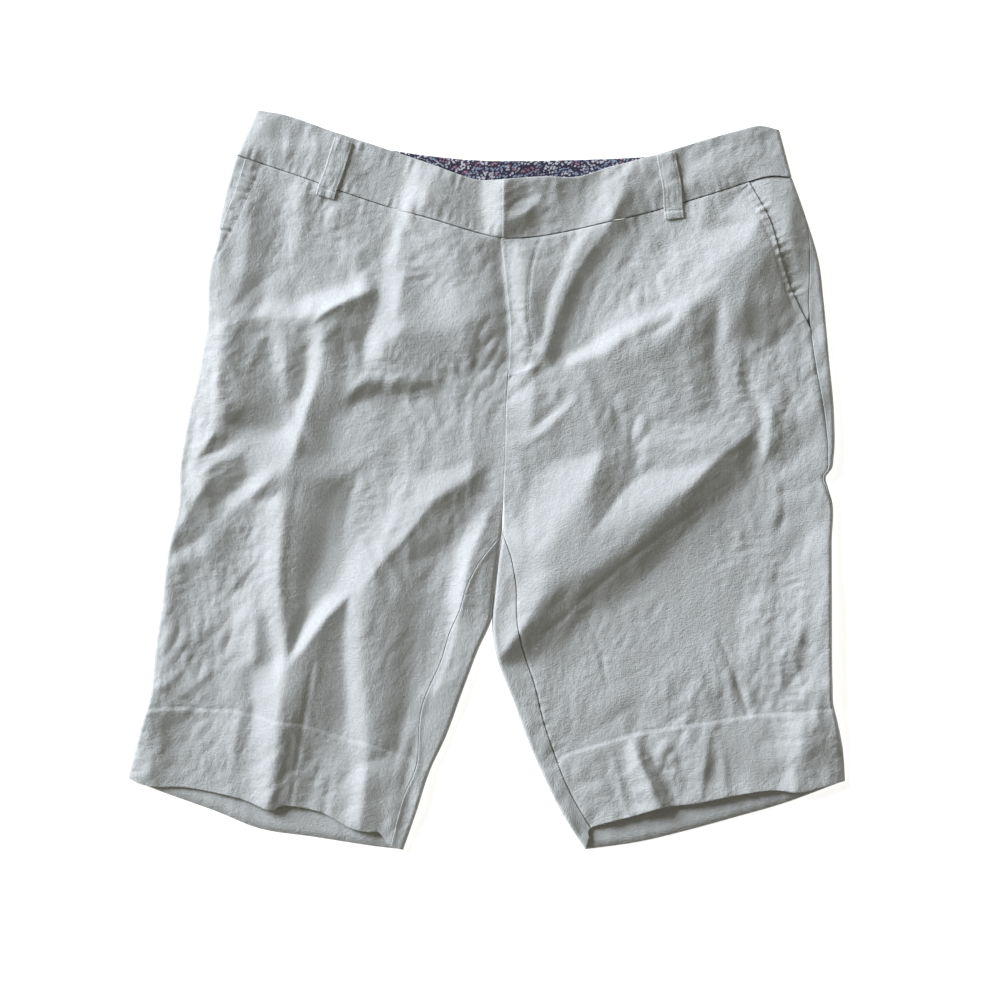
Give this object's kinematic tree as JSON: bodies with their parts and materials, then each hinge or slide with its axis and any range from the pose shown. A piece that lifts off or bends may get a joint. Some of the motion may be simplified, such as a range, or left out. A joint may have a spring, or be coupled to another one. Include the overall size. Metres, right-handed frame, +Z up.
{
  "type": "bermuda shorts",
  "caption": "Plain linen bermuda shorts lying flat, front up: creased fronts over the back, waistband with belt loops, closed fly, slanted pockets, turned-up hems and a printed facing.",
  "frame": {"origin": "middle of the outline, on the surface the shorts lie on", "axes": "+X to the wearer's left, +Y towards the waist, +Z up out of the front"},
  "size_m": [0.575, 0.5925, 0.0142],
  "materials": {
    "linen": "matt plain weave with slubs, off-white",
    "printed_facing": "smooth printed cotton, dark ground with small light motifs"
  },
  "bodies": {
    "root": {"front_left": "linen", "front_right": "linen", "back_left": "linen", "back_right": "linen", "waistband": "linen", "pocket_bearer_left": "linen", "pocket_bearer_right": "linen", "belt_loop_front_left": "linen", "belt_loop_front_right": "linen", "belt_loop_back_left": "linen", "belt_loop_back_middle": "linen", "belt_loop_back_right": "linen", "waistband_facing": "printed_facing"}
  },
  "joints": []
}
